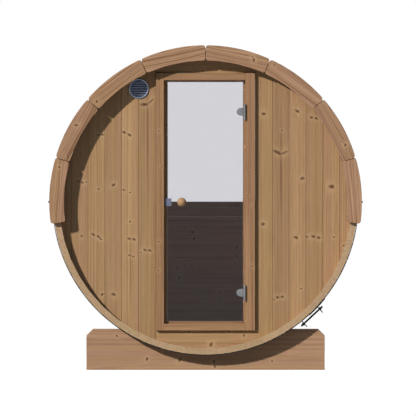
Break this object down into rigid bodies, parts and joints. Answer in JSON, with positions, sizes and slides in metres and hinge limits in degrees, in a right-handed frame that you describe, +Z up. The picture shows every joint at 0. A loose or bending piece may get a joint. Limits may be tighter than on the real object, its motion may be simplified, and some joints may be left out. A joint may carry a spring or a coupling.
{
  "type": "barrel sauna",
  "caption": "Round timber cabin lying on two cradles, with a glass door in its front end and a half-round window in its far end.",
  "frame": {"origin": "on the ground under the middle of the barrel, at the foot of the cradles", "axes": "+Z up, -Y out of the door end, +X to the right for someone facing the door; the barrel's axis runs along Y"},
  "size_m": [2.072, 1.8786, 2.1343],
  "materials": {
    "stave_wood": "heat-treated softwood, oiled, satin",
    "trim_wood": "heat-treated softwood with knots, oiled, satin",
    "wall_wood": "heat-treated softwood boards with knots, oiled, satin",
    "frame_wood": "planed softwood, oiled, satin",
    "cradle_wood": "planed softwood plank with knots",
    "floor_wood": "planed softwood, bare",
    "knob_wood": "turned, smooth",
    "tinted_glass": "clear with a light grey tint, polished",
    "hinge_steel": "satin",
    "catch_metal": "satin, anodised",
    "vent_enamel": "satin enamel",
    "band_steel": "dull",
    "rod_steel": "dark, threaded"
  },
  "bodies": {
    "cabin": {"staves_bottom": "stave_wood", "staves_lower_right": "stave_wood", "staves_right": "stave_wood", "staves_upper_right": "stave_wood", "staves_top": "stave_wood", "staves_upper_left": "stave_wood", "staves_left": "stave_wood", "staves_lower_left": "stave_wood", "front_trim_left": "trim_wood", "front_trim_right": "trim_wood", "rear_trim_left": "trim_wood", "rear_trim_right": "trim_wood", "front_wall_left": "wall_wood", "front_wall_right": "wall_wood", "front_wall_top": "wall_wood", "front_wall_bottom": "wall_wood", "rear_wall_lower": "wall_wood", "door_frame_left": "frame_wood", "door_frame_right": "frame_wood", "door_frame_top": "frame_wood", "door_frame_bottom": "frame_wood", "rear_window_rail": "frame_wood", "rear_window_frame": "frame_wood", "cradle_front": "cradle_wood", "cradle_rear": "cradle_wood", "floor_boards": "floor_wood", "floor_bearers": "floor_wood", "rear_window_glass": "tinted_glass", "upper_hinge_frame": "hinge_steel", "lower_hinge_frame": "hinge_steel", "latch_strike": "hinge_steel", "vent_grille": "vent_enamel", "band_front": "band_steel", "band_middle": "band_steel", "band_rear": "band_steel", "tensioner_front": "rod_steel", "tensioner_middle": "rod_steel", "tensioner_rear": "rod_steel"},
    "door": {"door_glass": "tinted_glass", "knob_outside": "knob_wood", "knob_inside": "knob_wood", "latch_plate": "catch_metal", "upper_hinge_leaf": "hinge_steel", "lower_hinge_leaf": "hinge_steel"}
  },
  "joints": [
    {"name": "door_hinge", "type": "hinge", "parent": "cabin", "child": "door", "pos_m": [0.257, -0.874, 1.1043], "axis": [0, 0, 1], "range_deg": [0, 110]}
  ]
}
